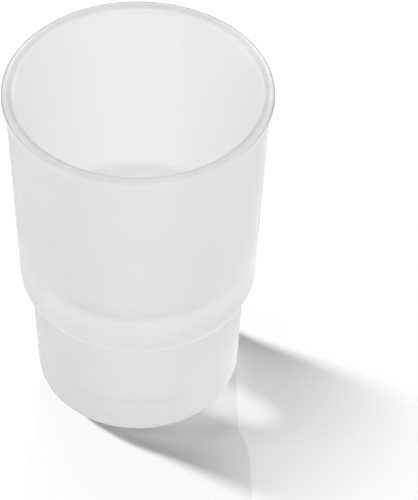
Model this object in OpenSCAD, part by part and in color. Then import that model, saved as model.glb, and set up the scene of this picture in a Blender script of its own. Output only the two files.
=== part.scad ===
// Frosted glass tumbler for a washbasin or a wall holder.
// It is one piece of pressed glass with a satin finish, inside and out: a beaded lip,
// a body that leans out a little, a rounded shoulder, and a narrower foot section
// that drops through a holder's ring or stands by itself on its base.
// The origin is the centre of the ring it stands on, and +Z runs up its axis.

/* [Rim] */
// Outer diameter across the bead
rim_d = 70; // [64:0.5:80]
// Overall height, from the standing ring to the top of the lip
height = 101; // [92:0.5:115]
// Thickness of the lip, with the bead
lip_t = 2.75; // [2.3:0.05:4]
// Height of the bead, from its lower edge to the top of the lip
bead_h = 3; // [2:0.1:6]
// How far the bead stands out from the wall under it
bead_proud = 0.9; // [0.4:0.05:1.3]
// Radius of the lip's outer edge
lip_out_r = 0.95; // [0.3:0.05:1.2]
// Radius of the lip's inner edge
lip_in_r = 1.5; // [0.3:0.05:1.6]
// Radius of the bead's lower edge
bead_low_r = 0.4; // [0.1:0.05:0.8]
// Radius of the groove under the bead
groove_r = 0.35; // [0.1:0.05:0.8]

/* [Body] */
// Lean of the body's outside, in degrees from upright
body_lean = 2.9; // [1:0.1:5]
// Thickness of the body's wall at the inner step
body_wall = 2.6; // [2:0.1:4]

/* [Shoulder] */
// Height of the crease under the shoulder, where a holder's ring takes it
crease_z = 34.4; // [28:0.2:38]
// Width of the seat under the shoulder, from the foot section out to the line of the body
seat_w = 2.7; // [2:0.1:4]
// Slope of the shoulder's underside, in degrees from upright
seat_slope = 56; // [45:1:70]
// Radius of the shoulder's round
shoulder_r = 6.2; // [3:0.1:8]
// Radius of the fillet in the crease
crease_r = 0.6; // [0.2:0.1:1.5]

/* [Foot section] */
// Lean of the foot section, in degrees from upright
foot_lean = 3; // [1:0.1:5]
// Thickness of the foot section's wall
foot_wall = 3.3; // [2.4:0.1:5]
// Radius of the base's outer corner
base_r = 7.2; // [3:0.1:9]
// Width of the flat ring that it stands on
land_w = 3; // [2:0.1:5]
// Height of the hollow under the base
hollow_h = 0.9; // [0.4:0.1:2]
// Radius of the hollow's edge
hollow_edge_r = 0.8; // [0.2:0.1:2]

/* [Inside] */
// Thickness of the base, from the standing ring up to the inner floor
floor_t = 10; // [5:0.5:14]
// Radius between the inner floor and the wall
floor_r = 3; // [1.5:0.1:8]
// Height of the inner step's outer corner
step_z = 48.5; // [43:0.5:54]
// Slope of the inner step, in degrees from upright
step_slope = 65; // [50:1:75]
// Radius between the body's wall and the inner step
step_top_r = 2.2; // [1:0.1:5]
// Radius between the inner step and the foot section's wall
step_low_r = 2; // [0.5:0.1:3]

/* [Hidden] */

// Largest turn of the outline between two neighbouring points of a round, in degrees
turn_step = 7.5;
// Points across the hollow under the base
hollow_points = 8;
// Sides of the preview
round_sides = 144;
satin_glass = [0.91, 0.93, 0.93];

rim_r = rim_d / 2;

// The body's outside is one straight line that leans out from the shoulder to the bead
body_top_r = rim_r - bead_proud;
body_top_z = height - bead_h;
function body_outer(z) = body_top_r - (body_top_z - z) * tan(body_lean);

// The foot section's outside starts in the crease and leans in towards the base
crease_rad = body_outer(crease_z) - seat_w;
function foot_outer(z) = crease_rad - (crease_z - z) * tan(foot_lean);
function foot_inner(z) = foot_outer(z) - foot_wall;

// The shoulder's underside runs from the crease out to the line of the body
shoulder_z = crease_z + seat_w / (tan(seat_slope) - tan(body_lean));

// The body's inside runs from the lip down to the inner step
mouth_r = rim_r - lip_t;
step_out_r = body_outer(step_z) - body_wall;
// The inner step falls from there to the line of the foot section's inside
step_drop = (step_out_r - foot_inner(step_z)) / (tan(step_slope) - tan(foot_lean));
step_in_z = step_z - step_drop;

// The hollow under the base is a shallow dome inside the standing ring
foot_r = foot_outer(0);
land_out_r = foot_r - base_r * tan(45 - foot_lean / 2);
hollow_r = land_out_r - land_w;
dome_r = (hollow_r * hollow_r + hollow_h * hollow_h) / (2 * hollow_h);
function dome_z(r) = hollow_h - dome_r + sqrt(dome_r * dome_r - r * r);

// Corners of the outline from the axis out, round the outside and back in, each [radius, height, round]
under_corners = [
    for (i = [0 : hollow_points - 1]) [hollow_r * i / hollow_points, dome_z(hollow_r * i / hollow_points), 0],
    [hollow_r, 0, hollow_edge_r],
];
outer_corners = [
    [foot_r, 0, base_r],
    [crease_rad, crease_z, crease_r],
    [body_outer(shoulder_z), shoulder_z, shoulder_r],
    [body_top_r, body_top_z, groove_r],
    [rim_r, body_top_z, bead_low_r],
    [rim_r, height, lip_out_r],
];
inner_corners = [
    [mouth_r, height, lip_in_r],
    [step_out_r, step_z, step_top_r],
    [foot_inner(step_in_z), step_in_z, step_low_r],
    [foot_inner(floor_t), floor_t, floor_r],
    [0, floor_t, 0],
];
corners = concat(under_corners, outer_corners, inner_corners);

// One corner as a point, and the straight edge that leaves it
function point(i) = [corners[i][0], corners[i][1]];
function edge(i) = point(i + 1) - point(i);
function edge_angle(i) = atan2(edge(i)[1], edge(i)[0]);
// How far the outline turns at a corner, between -180 and 180 degrees, left turns positive
function wrapped(a) = a > 180 ? a - 360 : a < -180 ? a + 360 : a;
function turn(i) = wrapped(edge_angle(i) - edge_angle(i - 1));

// Length of edge that a corner's round takes up on each side
function reach(i) = i == 0 || i == len(corners) - 1 ? 0 : corners[i][2] * abs(tan(turn(i) / 2));
// Two rounds that share an edge shrink together where it is too short for both
function edge_share(i) = let (both = reach(i) + reach(i + 1)) both > norm(edge(i)) ? norm(edge(i)) / both : 1;
function round_at(i) = corners[i][2] * min(edge_share(i - 1), edge_share(i));

// A corner drawn as an arc that meets both of its edges smoothly, or as itself where it is sharp
function arc_at(i) =
    let (
        r = round_at(i),
        way = sign(turn(i)),
        steps = max(2, ceil(abs(turn(i)) / turn_step)),
        start = point(i) - (r * abs(tan(turn(i) / 2))) * edge(i - 1) / norm(edge(i - 1)),
        a = edge_angle(i - 1) - way * 90,
        centre = start - r * [cos(a), sin(a)]
    )
    [for (s = [0 : steps]) centre + r * [cos(a + turn(i) * s / steps), sin(a + turn(i) * s / steps)]];
function drawn(i) = i == 0 || i == len(corners) - 1 || corners[i][2] == 0 ? [point(i)] : arc_at(i);

outline = [for (i = [0 : len(corners) - 1]) each drawn(i)];

// The whole glass: the outline turned once round the axis
module tumbler() {
    color(satin_glass)
        rotate_extrude($fn = round_sides)
            polygon(outline);
}

tumbler();
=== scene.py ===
"""Frosted glass tumbler, dressed for the photograph: a smooth satin glass on a glossy white table."""

import math

import bpy
from mathutils import Matrix, Vector


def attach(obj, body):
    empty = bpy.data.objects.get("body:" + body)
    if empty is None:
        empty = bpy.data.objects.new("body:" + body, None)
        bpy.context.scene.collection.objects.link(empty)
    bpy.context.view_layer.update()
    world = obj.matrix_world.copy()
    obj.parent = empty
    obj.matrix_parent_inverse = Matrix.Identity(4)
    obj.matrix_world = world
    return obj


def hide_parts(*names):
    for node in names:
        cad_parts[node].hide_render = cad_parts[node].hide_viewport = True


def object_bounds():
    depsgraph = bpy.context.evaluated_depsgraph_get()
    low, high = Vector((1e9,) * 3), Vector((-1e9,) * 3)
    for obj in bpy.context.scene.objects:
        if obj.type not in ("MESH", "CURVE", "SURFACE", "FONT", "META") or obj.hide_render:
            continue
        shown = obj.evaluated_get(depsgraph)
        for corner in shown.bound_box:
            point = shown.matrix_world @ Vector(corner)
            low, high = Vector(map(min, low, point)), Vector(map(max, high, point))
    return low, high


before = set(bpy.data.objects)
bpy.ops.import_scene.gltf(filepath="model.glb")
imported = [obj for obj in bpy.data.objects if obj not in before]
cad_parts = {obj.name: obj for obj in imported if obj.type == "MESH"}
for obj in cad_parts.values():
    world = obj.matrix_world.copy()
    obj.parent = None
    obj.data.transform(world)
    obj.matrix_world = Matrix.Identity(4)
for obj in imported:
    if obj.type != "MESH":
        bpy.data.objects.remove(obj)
cad_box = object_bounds()

# One millimetre, in the frame's metres
MM = 0.001

# The photograph's frame, in pixels
PHOTO_WIDE = 418
PHOTO_HIGH = 500

# The camera as fitted to the photograph: how far down it looks, its focal length and the axis's column
# in pixels, its distance in metres, and the height on the axis that it aims at
CAMERA_DOWN_DEG = 43.80
FOCAL_PX = 4590.0
AXIS_PX = 137.95
CAMERA_DISTANCE = 1.211
AIM_Z = 44.24 * MM
SENSOR_MM = 36.0
CLIP_END = 20


def make_camera():
    data = bpy.data.cameras.new("camera")
    data.sensor_fit = "AUTO"
    data.sensor_width = SENSOR_MM
    data.lens = FOCAL_PX * SENSOR_MM / PHOTO_HIGH
    data.shift_x = (PHOTO_WIDE / 2 - AXIS_PX) / PHOTO_HIGH
    data.clip_end = CLIP_END
    camera = bpy.data.objects.new("camera", data)
    bpy.context.scene.collection.objects.link(camera)
    down = math.radians(CAMERA_DOWN_DEG)
    aim = Vector((0, 0, AIM_Z))
    camera.location = aim + CAMERA_DISTANCE * Vector((0, -math.cos(down), math.sin(down)))
    camera.rotation_euler = (math.pi / 2 - down, 0, 0)
    bpy.context.scene.camera = camera


# The glass, with the CAD model's own sizes in millimetres and leans in degrees
RIM_R = cad_box[1].x / MM
HEIGHT = cad_box[1].z / MM
LIP_T = 2.75
BEAD_H = 3.0
BEAD_PROUD = 0.9
LIP_OUT_R = 0.95
LIP_IN_R = 1.5
BEAD_LOW_R = 0.4
GROOVE_R = 0.35
BODY_LEAN = 2.9
BODY_WALL = 2.6
CREASE_Z = 34.4
SEAT_W = 2.7
SEAT_SLOPE = 56
SHOULDER_R = 6.2
CREASE_R = 0.6
FOOT_LEAN = 3
FOOT_WALL = 3.3
BASE_R = 7.2
LAND_W = 3
HOLLOW_H = 0.9
HOLLOW_EDGE_R = 0.8
FLOOR_T = 10
FLOOR_R = 3
STEP_Z = 48.5
STEP_SLOPE = 65
STEP_TOP_R = 2.2
STEP_LOW_R = 2

# How finely the glass is drawn: the turn between two rings of a round, the longest straight stretch between
# two rings in millimetres, the rings of the hollow under the base, and the segments round the axis
TURN_STEP = math.radians(6)
STRAIGHT_STEP = 1.5
DOME_RINGS = 16
SEGMENTS = 256


def tan(degrees):
    return math.tan(math.radians(degrees))


def glass_corners():
    """Corners of the outline from the axis out under the base, up the outside and down the inside.

    Each is (radius, height, round)."""
    body_top_z = HEIGHT - BEAD_H

    def body_outer(z):
        return RIM_R - BEAD_PROUD - (body_top_z - z) * tan(BODY_LEAN)

    crease_rad = body_outer(CREASE_Z) - SEAT_W

    def foot_outer(z):
        return crease_rad - (CREASE_Z - z) * tan(FOOT_LEAN)

    def foot_inner(z):
        return foot_outer(z) - FOOT_WALL

    shoulder_z = CREASE_Z + SEAT_W / (tan(SEAT_SLOPE) - tan(BODY_LEAN))
    step_out = body_outer(STEP_Z) - BODY_WALL
    step_in_z = STEP_Z - (step_out - foot_inner(STEP_Z)) / (tan(STEP_SLOPE) - tan(FOOT_LEAN))
    foot_r = foot_outer(0)
    hollow_r = foot_r - BASE_R * tan(45 - FOOT_LEAN / 2) - LAND_W
    dome_r = (hollow_r ** 2 + HOLLOW_H ** 2) / (2 * HOLLOW_H)
    dome = []
    for i in range(DOME_RINGS):
        r = hollow_r * i / DOME_RINGS
        dome.append((r, HOLLOW_H - dome_r + math.sqrt(dome_r ** 2 - r ** 2), 0))
    return dome + [
        (hollow_r, 0, HOLLOW_EDGE_R),
        (foot_r, 0, BASE_R),
        (crease_rad, CREASE_Z, CREASE_R),
        (body_outer(shoulder_z), shoulder_z, SHOULDER_R),
        (RIM_R - BEAD_PROUD, body_top_z, GROOVE_R),
        (RIM_R, body_top_z, BEAD_LOW_R),
        (RIM_R, HEIGHT, LIP_OUT_R),
        (RIM_R - LIP_T, HEIGHT, LIP_IN_R),
        (step_out, STEP_Z, STEP_TOP_R),
        (foot_inner(step_in_z), step_in_z, STEP_LOW_R),
        (foot_inner(FLOOR_T), FLOOR_T, FLOOR_R),
        (0, FLOOR_T, 0),
    ]


def rounded(corners):
    """The outline with each corner's round drawn as an arc, and straight stretches split into short ones."""
    points = [Vector(corners[0][:2])]
    for before, corner, after in zip(corners, corners[1:], corners[2:]):
        at = Vector(corner[:2])
        into = (at - Vector(before[:2])).normalized()
        out = (Vector(after[:2]) - at).normalized()
        turn = math.atan2(into.x * out.y - into.y * out.x, into.dot(out))
        if corner[2] == 0:
            points.append(at)
            continue
        reach = corner[2] * abs(math.tan(turn / 2))
        start = at - into * reach
        side = math.copysign(1, turn)
        centre = start + side * corner[2] * Vector((-into.y, into.x))
        steps = max(3, math.ceil(abs(turn) / TURN_STEP))
        for s in range(steps + 1):
            points.append(centre + Matrix.Rotation(turn * s / steps, 2) @ (start - centre))
    points.append(Vector(corners[-1][:2]))
    outline = [points[0]]
    for a, b in zip(points, points[1:]):
        pieces = max(1, math.ceil((b - a).length / STRAIGHT_STEP))
        outline += [a.lerp(b, i / pieces) for i in range(1, pieces + 1)]
    return outline


def lathe(name, outline):
    """A closed solid of revolution from an outline in millimetres that starts and ends on the axis.

    What comes after its highest ring is the inside, and takes the second material."""
    rings = outline[1:-1]
    lip_ring = max(range(len(rings)), key=lambda i: (round(rings[i].y, 3), i))
    verts = [(0, 0, outline[0].y * MM)]
    for p in rings:
        for s in range(SEGMENTS):
            a = 2 * math.pi * s / SEGMENTS
            verts.append((p.x * MM * math.cos(a), p.x * MM * math.sin(a), p.y * MM))
    verts.append((0, 0, outline[-1].y * MM))
    last = len(verts) - 1

    def at(ring, s):
        return 1 + ring * SEGMENTS + s % SEGMENTS

    faces = []
    for s in range(SEGMENTS):
        faces.append((0, at(0, s + 1), at(0, s)))
        faces.append((last, at(len(rings) - 1, s), at(len(rings) - 1, s + 1)))
        for ring in range(len(rings) - 1):
            faces.append((at(ring, s), at(ring, s + 1), at(ring + 1, s + 1), at(ring + 1, s)))
    mesh = bpy.data.meshes.new(name)
    mesh.from_pydata(verts, [], faces)
    mesh.validate()
    mesh.shade_smooth()
    for face in mesh.polygons:
        face.material_index = int(max(face.vertices) > at(lip_ring, SEGMENTS - 1))
    piece = bpy.data.objects.new(name, mesh)
    bpy.context.scene.collection.objects.link(piece)
    return piece


# Refractive index of the glass and of the table's gloss
IOR = 1.5
# Roughness of the etching: outside, inside, and on the lip, with the heights in millimetres where it changes
OUTSIDE_ROUGHNESS = 0.6
INSIDE_ROUGHNESS = 0.35
LIP_ROUGHNESS = 0.55
LIP_ZONE = (94.0, 98.0)
# How far the roughness varies, over patches of about this many millimetres
PATCHY = 0.06
PATCH_SIZE = 14.0
# Depth of the etched grain, and its size, in millimetres
GRAIN_DEPTH = 0.0012
GRAIN_SIZE = 0.3

# What the glass leaves of the light that goes through it: in the body, in the thick foot and in the bead,
# with the heights in millimetres where each begins and ends. Inside, painted light and shade: the inner
# floor painted lighter, by this factor over the foot, a painted dark ring of shade in the corner round it,
# and painted shade inside the lip, each with its heights in millimetres
BODY_TINT = 0.95
FOOT_TINT = 0.91
FOOT_ZONE = (6.0, 40.0)
# Painted light: the inner floor drawn lighter than the foot
PAINTED_FLOOR_LIGHT = 1.12
# Painted shade: the dark ring in the corner round the inner floor
PAINTED_CORNER_SHADE = 0.45
PAINTED_CORNER_ZONE = (10.1, 11.5, 14.0)
# Painted shade: the darker band inside the lip
PAINTED_LIP_SHADE = 0.76
PAINTED_LIP_SHADE_ZONE = (99.8, 100.7)
BEAD_TINT = 1.0
BEAD_ZONE = (97.8, 98.4)

# Painted shade: the darker outline of the glass seen edge on, drawn into the glass: how dark it gets
# outside, inside and on the lip, the facing at which it starts and is full, and the heights in millimetres
# of the lip and of the shoulder's underside, which has none
PAINTED_OUTLINE_OUTSIDE = 0.05
PAINTED_OUTLINE_INSIDE = 0.02
OUTLINE_FACING = (0.5, 0.97)
PAINTED_OUTLINE_LIP = 0.85
LIP_FACING = (0.3, 1.0)
LIP_OUTLINE_ZONE = (99.6, 100.2)
SHOULDER_ZONE = (32.0, 35.0, 38.0, 42.0)

# What the outside takes from the light that goes through it to the table: where light meets it squarely,
# how much more where it grazes it, the share of that at the very bottom and the height in millimetres
# where it is full, the height where it has faded away, and the facing between which it ends at the sides
FACE_SHADE = 0.48
EDGE_SHADE = 0.5
BOTTOM_SHARE = 0.6
BOTTOM_TOP = 4.0
SHADE_TOP = 38.0
SHADE_SIDE = (0.6, 0.72)

# The table: half its side in metres, how far under the glass it lies so that the two faces don't meet, its
# grey and roughness, and its level through the glass and in the glass's reflections
TABLE_HALF = 3.0
TABLE_Z = -0.01 * MM
TABLE_GREY = 0.85
TABLE_ROUGHNESS = 0.03
TABLE_SEEN = 0.89

# Soft boxes that light only the table, and those that light only the glass: name, azimuth and elevation in
# degrees, distance, width and height in metres, and power in watts
TABLE_LAMPS = [
    ("key", 150.5, 28, 3.0, 0.3, 0.12, 170.0),
    ("fill", 180, 28, 3.0, 0.8, 0.4, 28.0),
    ("backdrop", 90, 44, 2.0, 0.5, 0.5, 1.7),
]
GLASS_LAMPS = [
    ("back", 90, 35, 1.2, 1.0, 1.0, 0.3),
    ("key_through", 153, 30, 0.9, 0.4, 0.4, 0.6),
    ("left", 170, 10, 0.9, 0.4, 0.4, 1.0),
    ("back_right", 30, 30, 0.9, 0.4, 0.4, 0.3),
    ("right", 0, 5, 0.9, 0.4, 0.4, 1.0),
    ("front", -90, 20, 0.9, 0.4, 0.4, 0.1),
]

# The spot lamp behind the small bright patch: where it aims on the table and where it stands, in metres,
# its cone in degrees, its power in watts and its size in metres
FOCUS_SPOT = Vector((24.5, -13, 0)) * MM
FOCUS_SOURCE = Vector((222, -123, 106)) * MM
FOCUS_CONE_DEG = 3.8
FOCUS_POWER = 1.8
FOCUS_SIZE = 0.001

# The room's level as a light and as it is seen
ROOM_LIGHT = 0.1
ROOM_SEEN = 0.64


def math_node(nt, operation, a, b):
    node = nt.nodes.new("ShaderNodeMath")
    node.operation = operation
    for value, socket in zip((a, b), node.inputs):
        if isinstance(value, float):
            socket.default_value = value
        else:
            nt.links.new(value, socket)
    return node.outputs[0]


def ramp(nt, value, ends, at_low, at_high):
    """A smooth change from one number to another as the value goes from the first end to the second."""
    node = nt.nodes.new("ShaderNodeMapRange")
    node.interpolation_type = "SMOOTHSTEP"
    for name, number in zip(("From Min", "From Max", "To Min", "To Max"), (*ends, at_low, at_high)):
        node.inputs[name].default_value = number
    nt.links.new(value, node.inputs["Value"])
    return node.outputs["Result"]


def seen_in_glass(nt, rays):
    """1 for what the camera sees through or in the glass, and 0 once light has scattered off the table."""
    either = math_node(nt, "MAXIMUM", rays.outputs["Is Transmission Ray"], rays.outputs["Is Glossy Ray"])
    early = math_node(nt, "LESS_THAN", rays.outputs["Diffuse Depth"], 0.5)
    return math_node(nt, "MULTIPLY", either, early)


def noise(nt, place, size, detail):
    """Soft noise from 0 to 1, with spots of about this many millimetres."""
    node = nt.nodes.new("ShaderNodeTexNoise")
    node.inputs["Scale"].default_value = 1 / (size * MM)
    node.inputs["Detail"].default_value = detail
    nt.links.new(place, node.inputs["Vector"])
    return node.outputs["Fac"]


def etched_roughness(nt, place, z, inside):
    even = ramp(nt, z, LIP_ZONE, INSIDE_ROUGHNESS if inside else OUTSIDE_ROUGHNESS, LIP_ROUGHNESS)
    patches = math_node(nt, "SUBTRACT", noise(nt, place, PATCH_SIZE, 2), 0.5)
    return math_node(nt, "ADD", even, math_node(nt, "MULTIPLY", patches, 2 * PATCHY))


def etched_grain(nt, place):
    node = nt.nodes.new("ShaderNodeBump")
    node.inputs["Distance"].default_value = GRAIN_DEPTH * MM
    nt.links.new(noise(nt, place, GRAIN_SIZE, 3), node.inputs["Height"])
    return node.outputs["Normal"]


def tint_with_painted_light_and_shade(nt, z, inside):
    # Own grey, darker in the foot; inside, painted floor light, painted corner shade and painted lip shade
    grey = ramp(nt, z, FOOT_ZONE, FOOT_TINT, BODY_TINT)
    if inside:
        low, middle, high = PAINTED_CORNER_ZONE
        # Painted light on the inner floor, turning into a painted dark ring of shade in the corner round it
        into = ramp(nt, z, (low, middle), PAINTED_FLOOR_LIGHT, PAINTED_CORNER_SHADE)
        out = ramp(nt, z, (middle, high), PAINTED_CORNER_SHADE, 1.0)
        grey = math_node(nt, "MULTIPLY", grey, math_node(nt, "MAXIMUM", into, out))
        # Painted shade inside the lip
        return math_node(nt, "MULTIPLY", grey, ramp(nt, z, PAINTED_LIP_SHADE_ZONE, 1.0, PAINTED_LIP_SHADE))
    return math_node(nt, "MULTIPLY", grey, ramp(nt, z, BEAD_ZONE, 1.0, BEAD_TINT))


def outline(nt, z, facing, inside):
    """Painted shade: how much darker the glass is drawn where it is seen edge on, as thick glass looks."""
    if inside:
        return ramp(nt, facing, OUTLINE_FACING, 0.0, PAINTED_OUTLINE_INSIDE)
    low, lower, upper, top = SHOULDER_ZONE
    under = ramp(nt, z, (low, lower), 1.0, 0.0)
    over = ramp(nt, z, (upper, top), 0.0, 1.0)
    sides = ramp(nt, facing, OUTLINE_FACING, 0.0, PAINTED_OUTLINE_OUTSIDE)
    sides = math_node(nt, "MULTIPLY", sides, math_node(nt, "MAXIMUM", under, over))
    lip = ramp(nt, facing, LIP_FACING, 0.0, PAINTED_OUTLINE_LIP)
    lip = math_node(nt, "MULTIPLY", lip, ramp(nt, z, LIP_OUTLINE_ZONE, 0.0, 1.0))
    return math_node(nt, "MAXIMUM", sides, lip)


def passed(nt, z, facing):
    """What the outside leaves of the light that goes straight through it to the table."""
    taken = math_node(nt, "ADD", math_node(nt, "MULTIPLY", facing, EDGE_SHADE), FACE_SHADE)
    taken = math_node(nt, "MULTIPLY", taken, ramp(nt, z, (0.0, SHADE_TOP), 1.0, 0.0))
    taken = math_node(nt, "MULTIPLY", taken, ramp(nt, z, (0.0, BOTTOM_TOP), BOTTOM_SHARE, 1.0))
    taken = math_node(nt, "MULTIPLY", taken, ramp(nt, facing, SHADE_SIDE, 1.0, 0.0))
    return math_node(nt, "SUBTRACT", 1.0, taken)


def satin_glass(name, inside):
    """Etched glass. The camera sees it scatter, and the table's light goes straight through it."""
    # Its colour carries painted light and shade inside, and painted shade along its edges
    mat = bpy.data.materials.new(name)
    mat.use_nodes = True
    nt = mat.node_tree
    bsdf = nt.nodes["Principled BSDF"]
    bsdf.inputs["IOR"].default_value = IOR
    bsdf.inputs["Transmission Weight"].default_value = 1.0

    place = nt.nodes.new("ShaderNodeTexCoord").outputs["Object"]
    split = nt.nodes.new("ShaderNodeSeparateXYZ")
    nt.links.new(place, split.inputs["Vector"])
    z = math_node(nt, "DIVIDE", split.outputs["Z"], MM)
    nt.links.new(etched_roughness(nt, place, z, inside), bsdf.inputs["Roughness"])
    nt.links.new(etched_grain(nt, place), bsdf.inputs["Normal"])
    nt.links.new(tint_with_painted_light_and_shade(nt, z, inside), bsdf.inputs["Base Color"])

    edge = nt.nodes.new("ShaderNodeLayerWeight")
    edge.inputs["Blend"].default_value = 0.5
    facing = edge.outputs["Facing"]
    rays = nt.nodes.new("ShaderNodeLightPath")
    # The painted outline shade shows to the camera and in the table, and not from within the glass
    first = math_node(nt, "LESS_THAN", rays.outputs["Ray Depth"], 1.5)
    through = rays.outputs["Is Transmission Ray"]
    before_glass = math_node(nt, "MULTIPLY", first, math_node(nt, "SUBTRACT", 1.0, through))
    # Painted shade: black mixed in where the glass is seen edge on
    darker = nt.nodes.new("ShaderNodeMixShader")
    painted_edge_shade = math_node(nt, "MULTIPLY", outline(nt, z, facing, inside), before_glass)
    nt.links.new(painted_edge_shade, darker.inputs["Fac"])
    nt.links.new(bsdf.outputs["BSDF"], darker.inputs[1])

    clear = nt.nodes.new("ShaderNodeBsdfTransparent")
    if not inside:
        nt.links.new(passed(nt, z, facing), clear.inputs["Color"])
    scattered = math_node(nt, "GREATER_THAN", rays.outputs["Diffuse Depth"], 0.5)
    mix = nt.nodes.new("ShaderNodeMixShader")
    nt.links.new(math_node(nt, "MAXIMUM", scattered, rays.outputs["Is Shadow Ray"]), mix.inputs["Fac"])
    nt.links.new(darker.outputs["Shader"], mix.inputs[1])
    nt.links.new(clear.outputs["BSDF"], mix.inputs[2])
    nt.links.new(mix.outputs["Shader"], nt.nodes["Material Output"].inputs["Surface"])
    return mat


def make_floor():
    mesh = bpy.data.meshes.new("table")
    corners = [(x * TABLE_HALF, y * TABLE_HALF, TABLE_Z) for x, y in ((-1, -1), (1, -1), (1, 1), (-1, 1))]
    mesh.from_pydata(corners, [], [(0, 1, 2, 3)])
    floor = bpy.data.objects.new("table", mesh)
    bpy.context.scene.collection.objects.link(floor)
    mat = bpy.data.materials.new("white_table")
    mat.use_nodes = True
    nt = mat.node_tree
    bsdf = nt.nodes["Principled BSDF"]
    bsdf.inputs["Base Color"].default_value = (TABLE_GREY, TABLE_GREY, TABLE_GREY, 1)
    bsdf.inputs["Roughness"].default_value = TABLE_ROUGHNESS
    bsdf.inputs["IOR"].default_value = IOR
    plain = nt.nodes.new("ShaderNodeEmission")
    plain.inputs["Strength"].default_value = TABLE_SEEN
    rays = nt.nodes.new("ShaderNodeLightPath")
    early = math_node(nt, "LESS_THAN", rays.outputs["Diffuse Depth"], 0.5)
    indirect = math_node(nt, "SUBTRACT", 1.0, rays.outputs["Is Camera Ray"])
    mix = nt.nodes.new("ShaderNodeMixShader")
    nt.links.new(math_node(nt, "MULTIPLY", early, indirect), mix.inputs["Fac"])
    nt.links.new(bsdf.outputs["BSDF"], mix.inputs[1])
    nt.links.new(plain.outputs["Emission"], mix.inputs[2])
    nt.links.new(mix.outputs["Shader"], nt.nodes["Material Output"].inputs["Surface"])
    mesh.materials.append(mat)
    return floor


def make_world():
    """A pale room. It lights the table at one level, and the camera, gloss and glass see it at another."""
    world = bpy.data.worlds.new("studio")
    bpy.context.scene.world = world
    world.use_nodes = True
    nt = world.node_tree
    background = nt.nodes["Background"]
    background.inputs["Color"].default_value = (1, 1, 1, 1)
    rays = nt.nodes.new("ShaderNodeLightPath")
    seen = math_node(nt, "MAXIMUM", rays.outputs["Is Camera Ray"], seen_in_glass(nt, rays))
    level = nt.nodes.new("ShaderNodeMapRange")
    level.inputs["To Min"].default_value = ROOM_LIGHT
    level.inputs["To Max"].default_value = ROOM_SEEN
    nt.links.new(seen, level.inputs["Value"])
    nt.links.new(level.outputs["Result"], background.inputs["Strength"])


def light_only(lamp, lit):
    group = bpy.data.collections.new("lit_by_" + lamp.name)
    group.objects.link(lit)
    lamp.light_linking.receiver_collection = group


def make_lamp(name, azimuth, elevation, distance, wide, tall, power, lit):
    """A soft box that faces the glass and lights one thing, with angles in degrees and sizes in metres."""
    data = bpy.data.lights.new(name, "AREA")
    data.shape = "RECTANGLE"
    data.size = wide
    data.size_y = tall
    data.energy = power
    lamp = bpy.data.objects.new(name, data)
    bpy.context.scene.collection.objects.link(lamp)
    a = math.radians(azimuth)
    e = math.radians(elevation)
    towards = Vector((math.cos(a) * math.cos(e), math.sin(a) * math.cos(e), math.sin(e)))
    lamp.location = towards * distance
    lamp.rotation_euler = towards.to_track_quat("Z", "Y").to_euler()
    light_only(lamp, lit)


def make_focus(lit):
    """The small bright patch on the table where the thick base gathers the light."""
    data = bpy.data.lights.new("focus", "SPOT")
    data.spot_size = math.radians(FOCUS_CONE_DEG)
    data.spot_blend = 1.0
    data.shadow_soft_size = FOCUS_SIZE
    data.energy = FOCUS_POWER
    lamp = bpy.data.objects.new("focus", data)
    bpy.context.scene.collection.objects.link(lamp)
    lamp.location = FOCUS_SOURCE
    lamp.rotation_euler = (FOCUS_SOURCE - FOCUS_SPOT).to_track_quat("Z", "Y").to_euler()
    light_only(lamp, lit)


make_camera()
glass = lathe("tumbler_glass", rounded(glass_corners()))
glass.data.materials.append(satin_glass("frosted_outside", False))
glass.data.materials.append(satin_glass("frosted_inside", True))
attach(glass, "root")
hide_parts("tumbler")
table = make_floor()
make_world()
for lamp in TABLE_LAMPS:
    make_lamp(*lamp, table)
for lamp in GLASS_LAMPS:
    make_lamp(*lamp, glass)
make_focus(table)
bpy.context.scene.view_settings.view_transform = "Standard"
